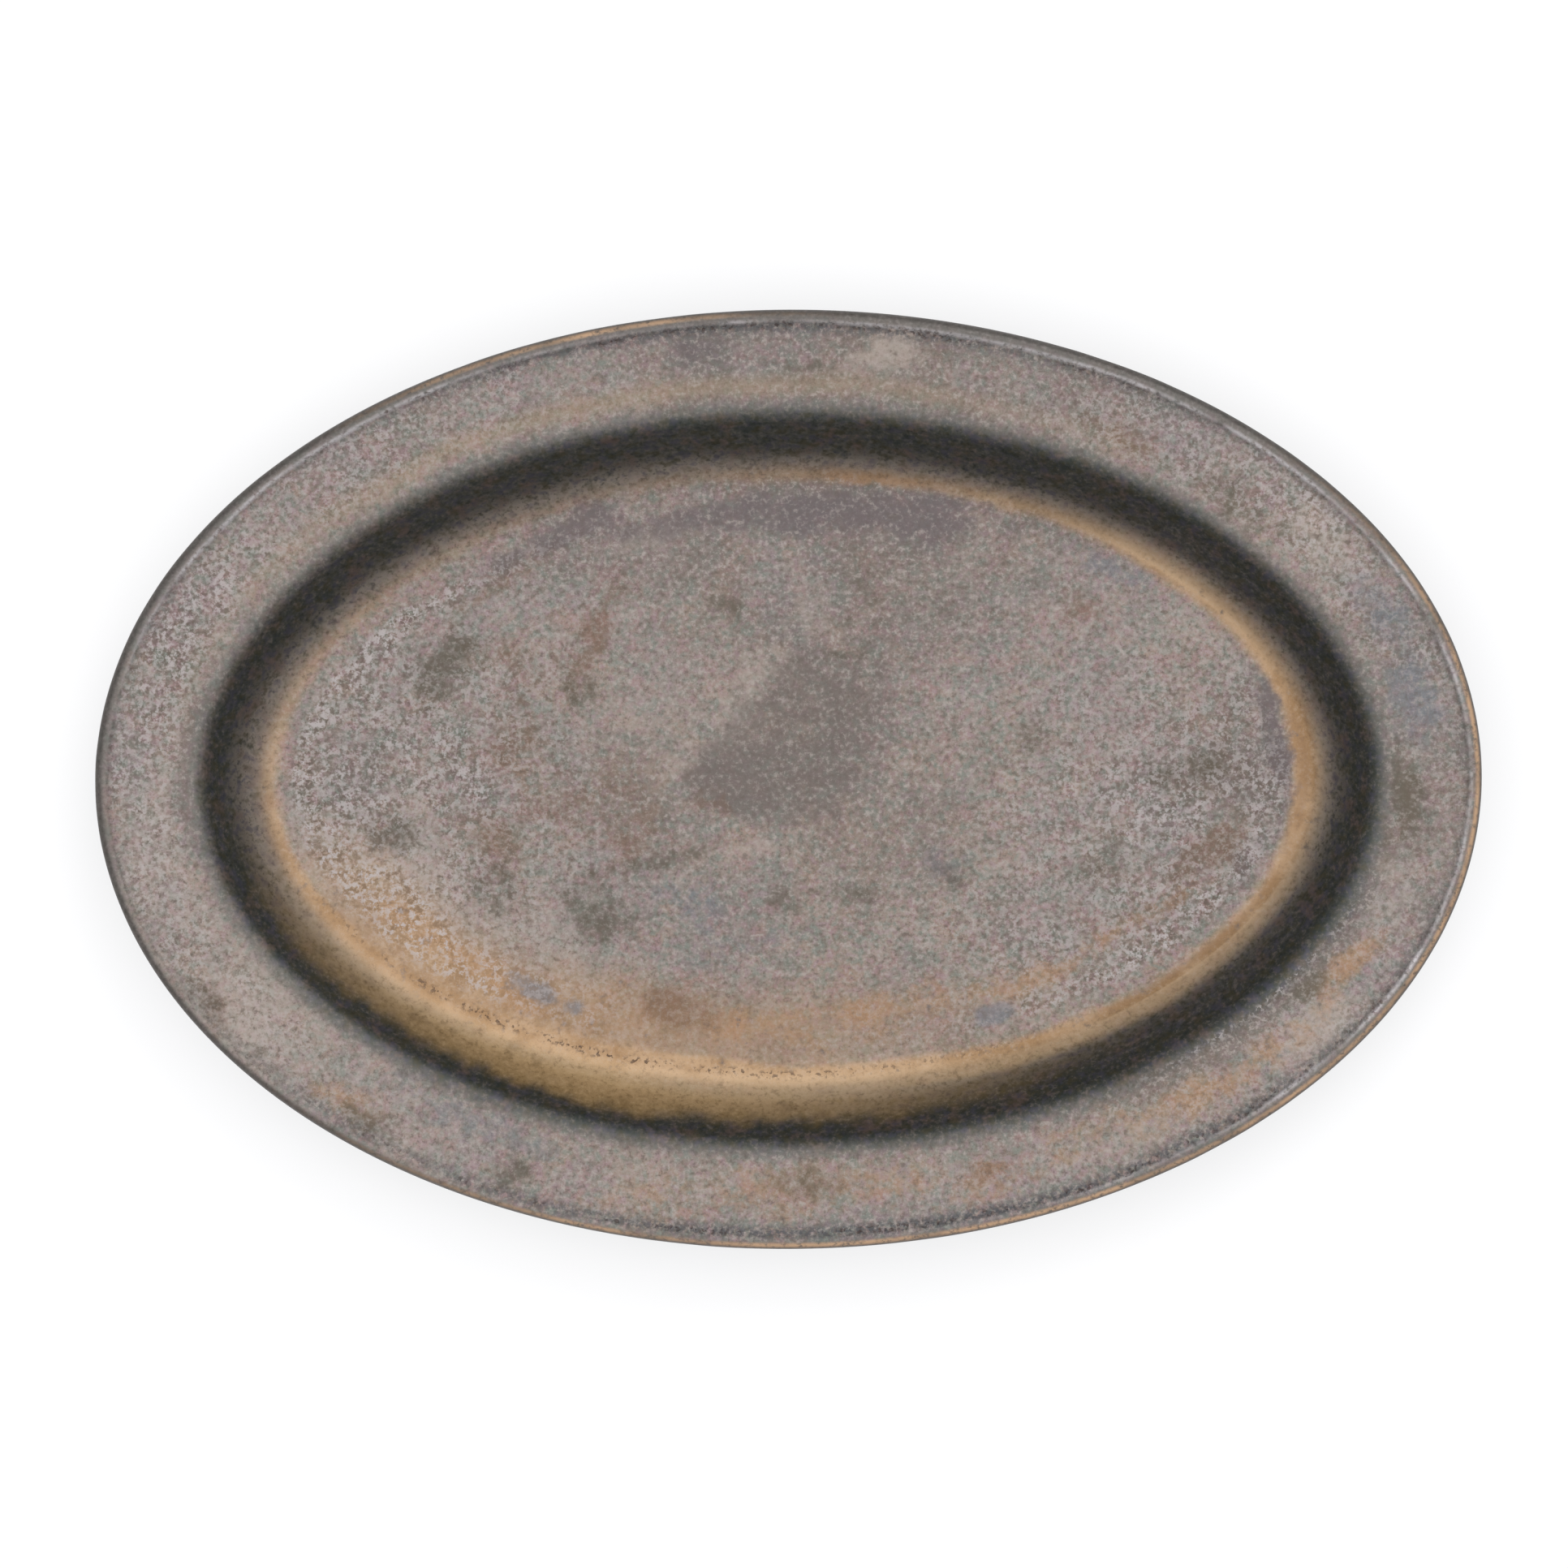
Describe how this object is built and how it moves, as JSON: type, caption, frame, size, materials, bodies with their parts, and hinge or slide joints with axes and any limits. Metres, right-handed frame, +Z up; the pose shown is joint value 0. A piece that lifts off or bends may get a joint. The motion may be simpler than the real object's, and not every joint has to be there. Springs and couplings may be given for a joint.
{
  "type": "oval rim plate",
  "caption": "Oval serving plate in bronze-glazed stoneware, with a wide flat rim, a shallow steep-walled well and a bare foot ring.",
  "frame": {"origin": "on the table, under the plate's centre", "axes": "+X along the plate, +Y across it, +Z up out of the well"},
  "size_m": [0.31, 0.21, 0.026],
  "materials": {
    "bare_clay": "matte",
    "bronze_glaze": "satin",
    "back_bronze_glaze": "satin"
  },
  "bodies": {
    "root": {"stoneware_body": "bare_clay", "face_glaze": "bronze_glaze", "back_glaze": "back_bronze_glaze", "recess_glaze": "back_bronze_glaze"}
  },
  "joints": []
}
